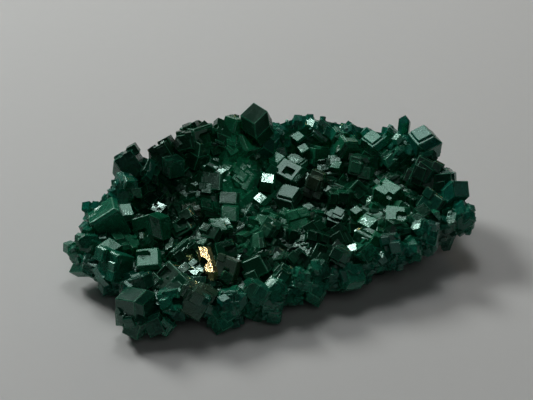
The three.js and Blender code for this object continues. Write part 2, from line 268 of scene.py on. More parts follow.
# How strongly sprouts and companions keep to the side of their host's tip, against 1 for chance, and how
# deep they are rooted: a sprout in metres, and a companion's middle in its own radii.
SPROUT_BIAS = 0.7
COMPANION_BIAS = 0.5
SPROUT_ROOT = 0.2 * MM
COMPANION_ROOT = 0.7
# Part of the growth steps that are on the face at the tip.
STEPS_AT_TIP = 0.6
# Where the numbers of each kind of crystal start, from which its chances follow.
FIRST = {
    "dish": 100,
    "rim": 300,
    "flank": 600,
    "druse of the dish": 2000,
    "druse of the rim": 4000,
    "druse of the flank": 4400,
    "steps": 5000,
    "companions": 7000,
    "sprouts": 12000,
}

# The soft lights: place from the target, width and height, all in metres, power in watts, and colour.
LIGHTS = (
    ("key_light", (0.0, 0.185, 0.31), (0.17, 0.14), 0.215, (0.97, 1.0, 1.0)),
    ("glint_light", (0.0, 0.170, 0.30), (0.025, 0.031), 0.06, (1.0, 1.0, 1.0)),
    ("side_light", (-0.27, 0.27, 0.27), (0.12, 0.12), 1.1, (0.97, 1.0, 0.98)),
    ("front_light", (0.10, -0.28, 0.43), (0.4, 0.3), 0.09, (1.0, 1.0, 1.0)),
    ("back_light", (0.0, 0.55, 0.13), (0.5, 0.16), 0.2, (1.0, 1.0, 1.0)),
    ("warm_light", (0.13, 0.24, 0.16), (0.015, 0.015), 0.013, (1.0, 0.62, 0.25)),
)
# A narrow light on the inner side of the ridge: place and aim from the target, cone and power.
RIDGE_LIGHT = ((0.08, -0.20, 0.30), (-0.0043, 0.0033, 0.0025), math.radians(2.5), 1.4)


def limits(name, what, default, **more):
    """A setting with a least and a most value."""
    description = "Least and most " + what
    return FloatVectorProperty(name=name, description=description, size=2, default=default, **more)


def colour(name, description, default):
    """A setting that is a colour."""
    return FloatVectorProperty(name=name, description=description, size=4, subtype="COLOR", default=default)


class CrustSettings(bpy.types.PropertyGroup):
    """The dished plate that the crystals stand on."""

    rim_radius: FloatVectorProperty(
        name="Rim Radius",
        description="Distance of the rim from the middle every 15 degrees, counter-clockwise from +X",
        size=24,
        unit="LENGTH",
        default=[
            MM * radius
            for radius in (
                23.3, 22.5, 21.6, 19.0, 17.6, 16.8, 13.6, 12.0, 12.0, 12.4, 13.0, 16.4,
                20.9, 23.5, 20.3, 19.6, 16.6, 14.4, 13.0, 12.0, 12.0, 13.0, 15.0, 18.4,
            )
        ],
    )
    rim_height: FloatVectorProperty(
        name="Rim Height",
        description="Height of the rim every 15 degrees, counter-clockwise from +X",
        size=24,
        unit="LENGTH",
        default=[
            MM * height
            for height in (
                5.6, 7.2, 8.8, 8.4, 8.4, 8.6, 9.0, 10.8, 10.6, 10.6, 10.4, 9.0,
                6.4, 4.4, 3.6, 3.4, 3.2, 3.2, 3.4, 3.7, 4.0, 4.4, 4.8, 5.0,
            )
        ],
    )
    dish_height: FloatProperty(
        name="Dish Height", description="Of the crust at the middle", unit="LENGTH", default=3.8 * MM
    )
    dish_power: IntProperty(
        name="Dish Power", description="How sharply the dish turns up into its rim", default=4
    )
    rim_thickness: FloatProperty(
        name="Rim Thickness",
        description="From the rim down to its under edge",
        unit="LENGTH",
        default=2.0 * MM,
    )
    rim_lowest: FloatProperty(
        name="Rim Lowest", description="Least height of the under edge", unit="LENGTH", default=1.6 * MM
    )
    base_share: FloatProperty(
        name="Base Share", description="Part of the rim's radius that rests on the surface", default=0.68
    )
    sides: IntProperty(name="Sides", description="Of the crust, round its middle", default=72)


class CrystalSettings(bpy.types.PropertyGroup):
    """The crystals that fill the plate between the large ones, and what grows on all of them."""

    rhomb_slope: FloatProperty(
        name="Rhomb Slope",
        description="Slope of the rhombic end faces",
        subtype="ANGLE",
        default=math.radians(51),
    )
    face_lengths: limits("Face Lengths", "half length with a face as the tip, in radii", (0.98, 1.25))
    point_lengths: limits("Point Lengths", "half length with a point as the tip, in radii", (1.2, 1.55))
    rises: limits("Rises", "rise of a tip, in radii", (0.25, 0.75))
    scatter: FloatProperty(
        name="Scatter", description="Sideways, of the way that crystals point", default=0.62
    )
    face_share: FloatProperty(
        name="Face Share", description="Part of the crystals that show a rhombic face", default=0.7
    )
    spacing: FloatProperty(
        name="Spacing", description="Least distance of two tips, in the sum of their radii", default=0.61
    )
    dish_count: IntProperty(name="Dish Count", description="Places tried over the dish", default=800)
    dish_radii: limits("Dish Radii", "radius over the dish", (1.8 * MM, 2.7 * MM), unit="LENGTH")
    rim_count: IntProperty(name="Rim Count", description="Crystals in each row round the rim", default=22)
    flank_count: IntProperty(name="Flank Count", description="Crystals on the flank", default=8)
    flank_heights: limits("Flank Heights", "share of the way up the flank", (0.3, 0.7))
    edge_radii: limits("Edge Radii", "radius on rim and flank", (1.1 * MM, 1.8 * MM), unit="LENGTH")
    druse_counts: IntVectorProperty(
        name="Druse Counts",
        description="Places tried for small crystals over the dish, in each row of the rim and on the flank",
        size=3,
        default=(2400, 100, 800),
    )
    druse_heights: limits("Druse Heights", "share of the way up, for small crystals", (0.06, 0.92))
    druse_radii: limits("Druse Radii", "radius of small crystals", (0.4 * MM, 1.1 * MM), unit="LENGTH")
    druse_spacing: FloatProperty(
        name="Druse Spacing", description="As Spacing, for the small crystals", default=0.5
    )
    stretch: FloatProperty(
        name="Stretch", description="Most that the small crystals are drawn out", default=1.9
    )
    sprout_counts: IntVectorProperty(
        name="Sprout Counts",
        description="Small crystals on each block, in the thick and in the thin parts of the plate",
        size=2,
        default=(2, 6),
    )
    sprout_radii: limits("Sprout Radii", "radius of the sprouts", (0.4 * MM, 0.95 * MM), unit="LENGTH")
    companion_count: IntProperty(
        name="Companion Count", description="Smaller crystals that grow through each block", default=4
    )
    companion_widths: limits("Companion Widths", "width of a companion, in radii", (0.3, 0.7))
    companion_heights: limits("Companion Heights", "height of a companion, in radii", (0.02, 0.26))
    misfit: FloatProperty(
        name="Misfit",
        description="Most that a companion is out of line",
        subtype="ANGLE",
        default=math.radians(9),
    )
    hollow_share: FloatProperty(
        name="Hollow Share", description="Part of the other blocks with a hollow face", default=0.35
    )
    chamfer: FloatProperty(name="Chamfer", description="Width of the broken edges, in radii", default=0.03)
    chamfer_from: FloatProperty(
        name="Chamfer From",
        description="Least radius of a crystal whose edges are broken",
        unit="LENGTH",
        default=0.9 * MM,
    )
    step_count: IntProperty(name="Step Count", description="Growth steps tried on each crystal", default=2)
    step_widths: limits("Step Widths", "width of a growth step, in radii", (0.28, 0.62))
    step_heights: limits("Step Heights", "height of a growth step, in radii", (0.04, 0.16))


class FinishSettings(bpy.types.PropertyGroup):
    """Colours and clearness of the dioptase."""

    deep_green: colour("Deep Green", "Of dark crystals", (0.003, 0.06, 0.026, 1))
    fresh_green: colour("Fresh Green", "Of pale crystals", (0.04, 0.64, 0.3, 1))
    # Teal of the thin plate, with painted light shining through it
    thin_teal_glow: colour("Thin Teal", "Of the thin rim", (0.015, 0.5, 0.38, 1))
    stain_brown: colour("Stain Brown", "Of stained faces", (0.10, 0.13, 0.065, 1))
    # Golden stain with painted glints of warm light
    gold_stain_and_glints: colour("Stain Gold", "Of the golden face", (1.0, 0.72, 0.34, 1))
    mirrored: colour("Mirrored Tint", "Of what the faces mirror", (0.65, 1.0, 0.87, 1))
    clearness: FloatProperty(
        name="Clearness", description="Part of the light that goes in", subtype="FACTOR", default=0.6
    )
    ior: FloatProperty(name="IOR", description="Refractive index of dioptase", default=1.66)
    absorbed: colour("Absorption Colour", "What is left of light inside", (0.02, 0.78, 0.6, 1))
    density: FloatProperty(
        name="Absorption Density", description="Strength of the absorption, per metre", default=4200
    )
    roughness: FloatVectorProperty(
        name="Roughness", description="Of the brightest and dullest faces", size=2, default=(0.05, 0.22)
    )


class StudioSettings(bpy.types.PropertyGroup):
    """Camera, lights and floor."""

    elevation: FloatProperty(
        name="Elevation",
        description="Of the camera above level",
        subtype="ANGLE",
        default=math.radians(36),
    )
    target: FloatVectorProperty(
        name="Target",
        description="Point that the camera looks at",
        size=3,
        subtype="TRANSLATION",
        default=(-0.84 * MM, 3.26 * MM, 5.0 * MM),
    )
    frame_width: FloatProperty(
        name="Frame Width", description="Width of the view at the target", unit="LENGTH", default=65 * MM
    )
    lens: FloatProperty(name="Lens", description="Focal length", subtype="DISTANCE_CAMERA", default=90)
    floor_width: FloatProperty(
        name="Floor Width", description="Of the square floor", unit="LENGTH", default=1.2
    )
    floor_colour: colour("Floor Colour", "Of the plain floor", (0.68, 0.675, 0.665, 1))
    surround: colour("Surround", "Soft light from all round", (0.014, 0.015, 0.016, 1))


def settings(name):
    """One of the groups of settings of this file."""
    return getattr(bpy.context.scene, "dioptase_" + name)


def chance(crystal, use):
    """Numbers from 0 to 1 that look random but are always the same for a crystal and a use: what is left of
    a fast sine wave after the decimal point."""
    wave = np.sin(np.asarray(crystal) * 12.9898 + use * 78.233) * 43758.5453
    return wave - np.floor(wave)


def between(ends, share):
    """The value at a share of the way between two ends."""
    low, high = ends
    return low + (high - low) * share


def unit(vectors):
    """Vectors of length 1 with the same directions."""
    return vectors / np.linalg.norm(vectors, axis=-1, keepdims=True)


def smooth(value, low, high):
    """0 up to low, 1 from high, and an eased rise between them."""
    share = np.clip((value - low) / (high - low), 0, 1)
    return share * share * (3 - 2 * share)


def scattered(number, uses):
    """Vectors with each part between -1 and 1."""
    return np.stack([2 * chance(number, use) - 1 for use in uses], axis=-1)


def matrices(*entries):
    """3 by 3 matrices from their nine entries, row by row. Each entry is an array or one number for all."""
    return np.stack(np.broadcast_arrays(*entries), axis=-1).reshape(-1, 3, 3)


def cross_matrix(vectors):
    """Matrices that take the cross product with vectors."""
    x, y, z = vectors.T
    return matrices(0, -z, y, z, 0, -x, -y, x, 0)


def leaning(towards, lean):
    """Directions that lean from upright by one angle, towards another in plan."""
    flat = np.sin(lean)
    parts = np.broadcast_arrays(flat * np.cos(towards), flat * np.sin(towards), np.cos(lean))
    return np.stack(parts, axis=-1)


class Crust:
    """The dished plate as functions of an angle round the middle and a share of the way out to the rim."""

    def __init__(self):
        self.given = settings("crust")

    def at_rim(self, name, angle):
        """A value of the rim at an angle, eased between the two nearest entries of its list."""
        values = np.array(getattr(self.given, name))
        place = np.mod(np.asarray(angle) / (2 * math.pi), 1) * len(values)
        entry = np.floor(place).astype(int)
        ease = smooth(place - entry, 0, 1)
        return values[entry % len(values)] * (1 - ease) + values[(entry + 1) % len(values)] * ease

    def height(self, angle, share):
        """From the dish's floor to the rim, by a power of the share."""
        rise = self.at_rim("rim_height", angle) - self.given.dish_height
        return self.given.dish_height + rise * np.minimum(share, 1) ** self.given.dish_power

    def under_edge(self, angle):
        """Height of the rim's under edge."""
        below_rim = self.at_rim("rim_height", angle) - self.given.rim_thickness
        return np.maximum(self.given.rim_lowest, below_rim)

    def point(self, angle, share):
        """Points of the upper side."""
        radius = self.at_rim("rim_radius", angle) * share
        parts = (radius * np.cos(angle), radius * np.sin(angle), self.height(angle, share))
        return np.stack(parts, axis=-1)

    def polar(self, x, y):
        """Angle and share of points in plan."""
        angle = np.arctan2(y, x)
        return angle, np.hypot(x, y) / self.at_rim("rim_radius", angle)

    def ridge(self, angle):
        """1 along the thick ridge, and 0 where the rim is lower."""
        return smooth(self.at_rim("rim_height", angle), *RIDGE_HEIGHTS)

    def edge(self, points):
        """1 at the rim, and 0 on the dish's floor and on the thick ridge."""
        angle, share = self.polar(points[:, 0], points[:, 1])
        return smooth(share, *EDGE_SHARES) * (1 - self.ridge(angle))

    def tone_and_thinness(self, points, tone):
        """How pale crystals at points are, and how thin the plate is there. It is thin at the edge, less so
        where the rim is low. The ridge is darker, for its thickness and as painted shade. Near the middle of
        a patch of painted light or shade the tone is mostly the patch's own, and a dark patch also dims the
        thin parts."""
        angle, share = self.polar(points[:, 0], points[:, 1])
        turned_up = smooth(self.at_rim("rim_height", angle), *TURNED_UP_HEIGHTS)
        thin = between(THINNESS, turned_up) * self.edge(points)
        # Darker along the top of the thick ridge: partly for its thickness, partly painted shade
        tone = tone * (1 - STRENGTH * self.ridge(angle) * smooth(share, *RIDGE_SHARES))
        # Patches of painted light and shade; a dark patch also dims the painted glow of the thin parts
        for x, y, radius, painted_tone in PAINTED_LIGHT_PATCHES:
            away = np.hypot(points[:, 0] - MM * x, points[:, 1] - MM * y) / (MM * radius)
            near = STRENGTH * (1 - smooth(away, CORE, 1))
            tone = between((tone, painted_tone), near)
            thin = thin * (1 - near * (1 - painted_tone))
        return tone, thin

    def rim_angles(self, count):
        """Angles that are the same distance apart along the rim."""
        angles = np.linspace(0, 2 * math.pi, 361)
        steps = np.linalg.norm(np.diff(self.point(angles, 1.0), axis=0), axis=1)
        along = np.concatenate([[0], np.cumsum(steps)])
        return np.interp(along[-1] * np.arange(count) / count, along, angles)

    def surface(self):
        """Points and faces of a closed grid, angle by row: the base, the flank up to the under edge, the
        rim, and the dish inwards, with a middle point for the base and one for the dish."""
        shares = (self.given.base_share, 1, *DISH_SHARES)
        sides = self.given.sides
        column = np.arange(sides)
        beside = np.roll(column, -1)
        angle = 2 * math.pi * column / sides
        rows = [self.point(angle, share) for share in shares]
        rows[0][:, 2] = 0
        rows[1][:, 2] = self.under_edge(angle)
        points = np.concatenate([*rows, [[0, 0, 0], [0, 0, self.given.dish_height]]])
        base_middle, dish_middle = len(points) - 2, len(points) - 1
        start = sides * np.arange(len(shares) - 1)[:, None]
        above = start + sides
        top = start[-1] + sides
        quads = np.stack([start + column, start + beside, above + beside, above + column], axis=-1)
        base = np.stack([beside, column, np.full_like(column, base_middle)], axis=-1)
        dish = np.stack([top + column, top + beside, np.full_like(column, dish_middle)], axis=-1)
        return points, [*quads.reshape(-1, 4).tolist(), *base.tolist(), *dish.tolist()]


@dataclass
class Crystals:
    """Crystals as arrays, one row each: middle, axes as the columns of a matrix, prism radius, half length,
    tip, whether a rhombic face is the tip, and how pale, stained and polished each is."""

    centre: np.ndarray
    axes: np.ndarray
    radius: np.ndarray
    length: np.ndarray
    tip: np.ndarray
    face_out: np.ndarray
    tone: np.ndarray
    stain: np.ndarray
    polish: np.ndarray

    def __len__(self):
        return len(self.radius)

    def take(self, rows):
        """Only these rows."""
        return Crystals(*(values[rows] for values in vars(self).values()))

    @staticmethod
    def together(*groups):
        """Several groups as one."""
        columns = zip(*(vars(group).values() for group in groups))
        return Crystals(*(np.concatenate(column) for column in columns))


def planted(tip, outwards, radius, length, turn, face_out, tone, stain, polish):
    """Crystals whose tips are at points and point outwards. The crystal's own axis is +Z. Where a face is
    the tip, the crystal is first tilted so that the face is level. Then it is turned, and +Z is swung to the
    outward way."""
    slope = settings("crystals").rhomb_slope
    tilt = np.where(face_out, slope, 0)
    level = matrices(np.cos(tilt), 0, -np.sin(tilt), 0, 1, 0, np.sin(tilt), 0, np.cos(tilt))
    spin = matrices(np.cos(turn), -np.sin(turn), 0, np.sin(turn), np.cos(turn), 0, 0, 0, 1)
    cross = cross_matrix(np.cross((0, 0, 1), outwards))
    swing = np.eye(3) + cross + cross @ cross / (1 + outwards[:, 2])[:, None, None]
    depth = np.where(face_out, length * math.cos(slope), length)
    centre = tip - outwards * depth[:, None]
    return Crystals(centre, swing @ spin @ level, radius, length, tip, face_out, tone, stain, polish)


def half_lengths(radius, face_out, share):
    """Half lengths at a share of the way between their limits."""
    given = settings("crystals")
    in_radii = np.where(face_out, between(given.face_lengths, share), between(given.point_lengths, share))
    return radius * in_radii


def listed_crystals(crust, rows, first):
    """The crystals of a list. Each tip is its rise above the crust, and leans as the list says."""
    x, y, radius, rise, towards, lean, turn = np.array([row[:7] for row in rows]).T
    x, y, radius, rise = MM * x, MM * y, MM * radius, MM * rise
    face_out = np.array([row[7] == "face" for row in rows])
    names = np.array([row[8] for row in rows])
    row = np.arange(len(rows))
    number = first + row
    length = half_lengths(radius, face_out, chance(number, 9))
    drawn_out = np.array([DRAWN_OUT.get(name, 0.0) for name in names])
    polish = np.array([POLISH.get(name, 1.0) for name in names])
    return planted(
        np.stack([x, y, crust.height(*crust.polar(x, y)) + rise], axis=-1),
        leaning(np.radians(towards), np.radians(lean)),
        radius,
        np.where((drawn_out > 0) & ~face_out, drawn_out * radius, length),
        np.radians(turn),
        face_out,
        chance(number, 11),
        np.array([STAINS.get(name, 0.0) for name in names]),
        np.where(names == "", chance(row, 13) ** 3, polish),
    )


def small_crystals(number, root, outwards, radii, stretch=1.0):
    """Crystals that grow out of given points, roughly along given ways. Few are drawn out as much as the
    stretch."""
    given = settings("crystals")
    radius = between(radii, chance(number, 1) ** 2)
    direction = unit(outwards + given.scatter * scattered(number, (2, 3, 4)))
    face_out = chance(number, 8) < given.face_share
    rise = radius * between(given.rises, chance(number, 5))
    drawn_out = between((1.0, stretch), chance(number, 14) ** 2)
    return planted(
        root + direction * rise[:, None],
        direction,
        radius,
        half_lengths(radius, face_out, chance(number, 6)) * drawn_out,
        2 * math.pi * chance(number, 7),
        face_out,
        chance(number, 11),
        0 * radius,
        chance(number, 13) ** 3,
    )


def dish_crystals(crust, count, first, radii, stretch=1.0):
    """Over the dish, on the spiral that a sunflower's seeds follow: a golden angle a step, and a radius
    that grows as the square root of the number of steps."""
    number = np.arange(count)
    angle = number * GOLDEN_ANGLE
    share = SPIRAL_REACH * np.sqrt((number + 0.5) / count)
    root = crust.point(angle, share)
    uphill = unit(crust.point(angle, share + 0.02) - root)
    along = np.stack([-np.sin(angle), np.cos(angle), 0 * angle], axis=-1)
    return small_crystals(first + number, root, np.cross(uphill, along), radii, stretch)


def rim_crystals(crust, count, first, radii, stretch=1.0):
    """Two rows round the rim, one that points up and out and one that points out."""
    angle = crust.rim_angles(count)
    rows = []
    for row, (height_share, lean) in enumerate(RIM_ROWS):
        number = first + 100 * row + np.arange(count)
        root = crust.point(angle, 1.0)
        root[:, 2] = between((crust.under_edge(angle), crust.at_rim("rim_height", angle)), height_share)
        rows.append(small_crystals(number, root, leaning(angle, lean), radii, stretch))
    return Crystals.together(*rows)


def flank_crystals(crust, count, first, radii, heights, stretch=1.0):
    """On the flank, at heights as shares of the way from the base up to the rim, pointing out and down."""
    number = first + np.arange(count)
    angle = crust.rim_angles(count)
    up = between(heights, chance(number, 10))
    root = crust.point(angle, between((crust.given.base_share, 1), up))
    root[:, 2] = up * crust.under_edge(angle)
    return small_crystals(number, root, leaning(angle, FLANK_LEAN), radii, stretch)


def with_room(kept, tried, spacing):
    """The kept crystals, and those of the tried ones, in order, whose tips have room beside all before."""
    tips, radii = kept.tip, kept.radius
    rows = []
    for row in range(len(tried)):
        gap = np.linalg.norm(tips - tried.tip[row], axis=1)
        if (gap > spacing * (radii + tried.radius[row])).all():
            tips = np.vstack([tips, tried.tip[row]])
            radii = np.append(radii, tried.radius[row])
            rows.append(row)
    return Crystals.together(kept, tried.take(rows))


def end_face(crystals, corner):
    """The middle, the two half diagonals and the normal of one rhombic face at the top of each crystal. It
    runs from the crystal's point down to the prism corner at corner times 120 degrees."""
    slope = settings("crystals").rhomb_slope
    angle = corner * (2 * math.pi / 3)
    out = np.stack([np.cos(angle), np.sin(angle), 0 * angle], axis=-1)
    aside = np.stack([-np.sin(angle), np.cos(angle), 0 * angle], axis=-1)
    up = np.array([0.0, 0.0, 1.0])
    radius, length = crystals.radius[:, None], crystals.length[:, None]
    down = radius / 2 * (out - math.tan(slope) * up)
    half_width = radius * math.sqrt(3) / 2 * aside
    normal = math.sin(slope) * out + math.cos(slope) * up
    local = (length * up + down, down, half_width, normal)
    middle, *directions = (np.einsum("nij,nj->ni", crystals.axes, vectors) for vectors in local)
    return crystals.centre + middle, *directions


def on_faces(host, corner, across, along, width, height):
    """Smaller crystals in line with their hosts. Each one's own face is at a height over the host's face,
    at a place across and along it, from -0.5 to 0.5. Width and height are in the host's radii."""
    middle, down, aside, normal = end_face(host, corner)
    place = middle + (across + along)[:, None] * down + (across - along)[:, None] * aside
    face = place + normal * (host.radius * height)[:, None]
    radius = host.radius * width
    length = radius * between((1.0, 1.2), chance(np.arange(len(host)), 12))
    centre = face - down * width[:, None] - host.axes[:, :, 2] * length[:, None]
    tone = np.clip(host.tone + 0.1, 0, 1)
    return replace(host, centre=centre, radius=radius, length=length, tip=face, tone=tone)


def off_middle(share):
    """Places along an edge, from 0.12 to 0.42 to either side of its middle, and more of them far from it."""
    return np.sign(share - 0.5) * (0.12 + 0.3 * np.sqrt(np.abs(2 * share - 1)))


def growth_steps(host):
    """Low steps in line with the crystals that they grow on, mostly near the edges of the end faces."""
    given = settings("crystals")
    host = host.take(np.repeat(np.arange(len(host)), given.step_count))
    number = FIRST["steps"] + np.arange(len(host))
    on_tip = host.face_out & (chance(number, 1) < STEPS_AT_TIP)
    corner = np.where(on_tip, 0, np.floor(3 * chance(number, 2)))
    width = between(given.step_widths, chance(number, 5) ** 2)
    height = between(given.step_heights, chance(number, 6))
    across, along = (off_middle(chance(number, use)) for use in (3, 4))
    return on_faces(host, corner, across, along, width, height)


def surface_points(host, way):
    """Where rays from the crystals' middles leave them, the outward normals there, and how far that is. A
    crystal is what lies behind all its 12 faces, so a ray leaves through the face that it meets first."""
    slope = settings("crystals").rhomb_slope
    ends = leaning(np.radians([0, 120, 240]), slope)
    sides = leaning(np.radians([30, 90, 150, 210, 270, 330]), math.pi / 2)
    normals = np.concatenate([ends, -ends, sides])
    end_distance = host.length * math.cos(slope)
    side_distance = host.radius * math.cos(math.pi / 6)
    distance = np.stack([*6 * [end_distance], *6 * [side_distance]], axis=-1)
    towards = np.einsum("nji,nj,ki->nk", host.axes, way, normals)
    reach = np.where(towards > 1e-6, distance / np.maximum(towards, 1e-6), np.inf)
    normal = np.einsum("nij,nj->ni", host.axes, normals[reach.argmin(axis=1)])
    reach = reach.min(axis=1)
    return host.centre + way * reach[:, None], normal, reach


def sprouts(host, crust):
    """Small crystals on the outer sides of the blocks, most where the plate is thin."""
    given = settings("crystals")
    count = np.round(between(given.sprout_counts, crust.edge(host.centre))).astype(int)
    host = host.take(np.repeat(np.arange(len(host)), count))
    number = FIRST["sprouts"] + np.arange(len(host))
    way = unit(SPROUT_BIAS * unit(host.tip - host.centre) + scattered(number, (12, 13, 14)))
    root, normal, _ = surface_points(host, way)
    return small_crystals(number, root - SPROUT_ROOT * normal, normal, given.sprout_radii, given.stretch)


def companions(host):
    """Smaller crystals that grow through the faces of their hosts and stand a little proud. Each is turned
    out of line, about a line and by an angle that are left to chance."""
    given = settings("crystals")
    host = host.take(np.repeat(np.arange(len(host)), given.companion_count))
    number = FIRST["companions"] + np.arange(len(host))
    way = unit(COMPANION_BIAS * unit(host.tip - host.centre) + scattered(number, (1, 2, 3)))
    radius = host.radius * between(given.companion_widths, chance(number, 4))
    length = radius * between((1.0, 1.3), chance(number, 6))
    proud = host.radius * between(given.companion_heights, chance(number, 5))
    reach = surface_points(host, way)[2]
    centre = host.centre + way * (reach + proud - COMPANION_ROOT * radius)[:, None]
    twist = cross_matrix(unit(scattered(number, (7, 8, 9))))
    angle = (given.misfit * (2 * chance(number, 10) - 1))[:, None, None]
    axes = (np.eye(3) + np.sin(angle) * twist + (1 - np.cos(angle)) * twist @ twist) @ host.axes
    tone = np.clip(host.tone + 0.4 * (chance(number, 11) - 0.5), 0, 1)
    return replace(host, centre=centre, axes=axes, radius=radius, length=length, tip=centre, tone=tone)


def face_cuts(host, across, along, width, depth):
    """What is cut out of faces that grew only along their edges: small crystals in line with their hosts,
    with their under sides at the bottom of the hollow."""
    slope = settings("crystals").rhomb_slope
    at_tip = np.zeros(len(host))
    cut = on_faces(host, at_tip, across, along, width, 0 * width)
    normal = end_face(host, at_tip)[3]
    lift = 2 * cut.length * math.cos(slope) - depth * host.radius
    return replace(cut, centre=cut.centre + normal * lift[:, None])


def face_details(listed, rows):
    """The plates that stand on the faces of a list's crystals, and what is cut out of them."""
    found = [(row, *detail) for row, given in enumerate(rows) for detail in FACE_DETAILS.get(given[8], ())]
    row, *place, depth = np.array(found).T
    host = listed.take(row.astype(int))
    raised = depth < 0
    plate_place, cut_place = ([values[chosen] for values in place] for chosen in (raised, ~raised))
    plates = on_faces(host.take(raised), np.zeros(raised.sum()), *plate_place, -depth[raised])
    return plates, face_cuts(host.take(~raised), *cut_place, depth[~raised])


def hollows(blocks):
    """Hollows in some of the blocks."""
    number = np.arange(len(blocks))
    number = number[blocks.face_out & (chance(number, 21) < settings("crystals").hollow_share)]
    return face_cuts(
        blocks.take(number),
        between((-0.35, 0.35), chance(number, 22)),
        between((-0.35, 0.35), chance(number, 23)),
        between((0.3, 0.55), chance(number, 24)),
        between((0.08, 0.25), chance(number, 25)),
    )


def crystal_points(crystals):
    """The 14 corners of each crystal: a grid of 2 rings by 6 corners, and the point at each end. The rings
    zigzag: a corner under the middle of a rhombic face is a whole drop from the point, one between two faces
    half of that, and a drop is the radius times the tangent of the slope."""
    corner = np.arange(6)
    angle = corner * math.pi / 3
    zigzag = np.where(corner % 2 == 0, -0.25, 0.25)
    radius, length = crystals.radius[:, None], crystals.length[:, None]
    drop = radius * math.tan(settings("crystals").rhomb_slope)
    x, y = radius * np.cos(angle), radius * np.sin(angle)
    shoulder = length - 0.75 * drop
    rings = [np.stack([x, y, side * shoulder + zigzag * drop], axis=-1) for side in (-1, 1)]
    ends = [np.stack([0 * length, 0 * length, side * length], axis=-1) for side in (-1, 1)]
    local = np.concatenate([*rings, *ends], axis=1)
    return np.einsum("nij,nkj->nki", crystals.axes, local) + crystals.centre[:, None]


def crystal_faces():
    """The 12 faces of a crystal by their corners: 6 sides, and 3 rhombs at each end."""
    low = np.arange(6)
    high = low + 6
    sides = np.stack([low, np.roll(low, -1), np.roll(high, -1), high], axis=-1)
    tops = np.stack([np.full(3, 13), np.roll(high, 1)[::2], high[::2], np.roll(high, -1)[::2]], axis=-1)
    bottoms = np.stack([np.full(3, 12), np.roll(low, -1)[1::2], low[1::2], np.roll(low, 1)[1::2]], axis=-1)
    return np.concatenate([sides, tops, bottoms])


def chamfer_faces(faces):
    """What lies between the faces of a solid when each has been drawn in a little: a strip along each edge
    and a patch at each corner. Corner k of face f is now point 4 f + k."""
    after = {
        (a, b): 4 * f + k
        for f, face in enumerate(faces)
        for k, (a, b) in enumerate(zip(face, np.roll(face, -1)))
    }
    strips = [
        [4 * (here // 4) + (here + 1) % 4, here, 4 * (there // 4) + (there + 1) % 4, there]
        for (a, b), here in after.items()
        for there in [after[b, a]]
        if a < b
    ]
    patches = []
    for corner in range(faces.max() + 1):
        ring = {b: here for (a, b), here in after.items() if a == corner}
        first = point = next(iter(ring.values()))
        patch = []
        while not patch or point != first:
            patch.append(point)
            face = faces[point // 4]
            point = ring[face[(point - 1) % 4]]
        patches.append(patch)
    return [*strips, *patches]


def add_layers(mesh, **values):
    """Named values for each face, and a map of each face's own square for its growth lines."""
    for name, value in values.items():
        by_face = np.broadcast_to(value, len(mesh.polygons)).astype(np.float32)
        mesh.attributes.new(name, "FLOAT", "FACE").data.foreach_set("value", by_face)
    mesh.uv_layers.new(name="growth")


def crystal_mesh(name, crystals, crust, chamfer=0.0):
    """A mesh of whole crystals. A chamfer above 0, in radii, breaks their edges: each corner of a face
    moves along both edges that meet there, so far that the face is drawn in by the chamfer on all sides."""
    faces = crystal_faces()
    points = crystal_points(crystals)
    square = np.array([[0, 0], [1, 0], [1, 1], [0, 1]], dtype=float)
    polygons, maps = list(faces), list(np.tile(square, (len(faces), 1, 1)))
    if chamfer:
        corners = points[:, faces]
        back = unit(np.roll(corners, 1, axis=2) - corners)
        ahead = unit(np.roll(corners, -1, axis=2) - corners)
        sine = np.linalg.norm(np.cross(back, ahead), axis=-1, keepdims=True)
        points = corners + chamfer * crystals.radius[:, None, None, None] * (back + ahead) / sine
        points = points.reshape(len(crystals), -1, 3)
        broken = chamfer_faces(faces)
        polygons = [*np.arange(4 * len(faces)).reshape(-1, 4), *broken]
        maps = [*maps, *(np.tile([1.0, 0.5], (len(patch), 1)) for patch in broken)]
    mesh = bpy.data.meshes.new(name)
    start = points.shape[1] * np.arange(len(crystals))[:, None]
    by_polygon = [(np.asarray(polygon) + start).tolist() for polygon in polygons]
    mesh.from_pydata(points.reshape(-1, 3), [], [one for many in zip(*by_polygon) for one in many])
    polish = np.tile(crystals.polish[:, None], len(polygons))
    polish[:, len(faces):] = WORN_EDGE
    tone, thin, stain = (
        np.repeat(values, len(polygons))
        for values in (*crust.tone_and_thinness(crystals.centre, crystals.tone), crystals.stain)
    )
    add_layers(mesh, tone=tone, stain=stain, thin=thin, polish=polish.ravel())
    growth = np.tile(np.concatenate(maps), (len(crystals), 1)).astype(np.float32)
    mesh.uv_layers["growth"].uv.foreach_set("vector", growth.ravel())
    return mesh


def crust_mesh(crust):
    """The crust with the same layers as the crystals, of a middling tone."""
    points, faces = crust.surface()
    mesh = bpy.data.meshes.new("crust")
    mesh.from_pydata(points, [], faces)
    middles = np.empty(3 * len(faces), dtype=np.float32)
    mesh.polygons.foreach_get("center", middles)
    tone, thin = crust.tone_and_thinness(middles.reshape(-1, 3), np.full(len(faces), 0.5))
    add_layers(mesh, tone=tone, stain=0, thin=thin, polish=0)
    return mesh


def below_mesh():
    """A wide block whose top is the level that the cluster rests on."""
    half, deep = 0.1, 0.02
    square = ((-half, -half), (half, -half), (half, half), (-half, half))
    corners = [(x, y, z) for z in (-deep, 0) for x, y in square]
    sides = [(k, (k + 1) % 4, (k + 1) % 4 + 4, k + 4) for k in range(4)]
    mesh = bpy.data.meshes.new("below")
    mesh.from_pydata(corners, [], [(3, 2, 1, 0), (4, 5, 6, 7), *sides])
    add_layers(mesh, tone=0, stain=0, thin=0, polish=0)
    return mesh


